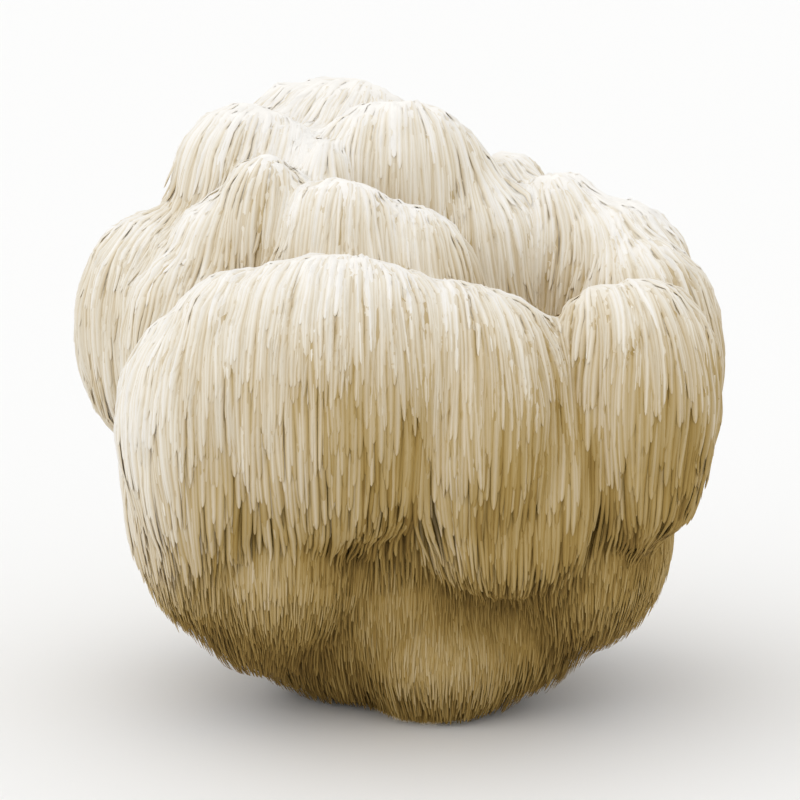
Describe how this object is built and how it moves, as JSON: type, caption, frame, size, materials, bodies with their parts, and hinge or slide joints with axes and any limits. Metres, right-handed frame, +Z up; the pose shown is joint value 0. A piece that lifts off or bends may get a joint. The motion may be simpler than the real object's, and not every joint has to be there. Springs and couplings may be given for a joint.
{
  "type": "lion's mane mushroom",
  "caption": "Whole lion's mane mushroom, a ball of rounded lobes hung with white spines, cut flat underneath so that it stands on a surface.",
  "frame": {"origin": "middle of the flat cut underneath, on the surface that the mushroom rests on", "axes": "+Z up, -Y towards the side with the wide front lobe, +X to the right as seen from there"},
  "size_m": [0.1614, 0.1347, 0.1525],
  "materials": {
    "flesh": "dull cream-white spines over tan flesh"
  },
  "bodies": {
    "root": {"fruiting_body": "flesh"}
  },
  "joints": []
}
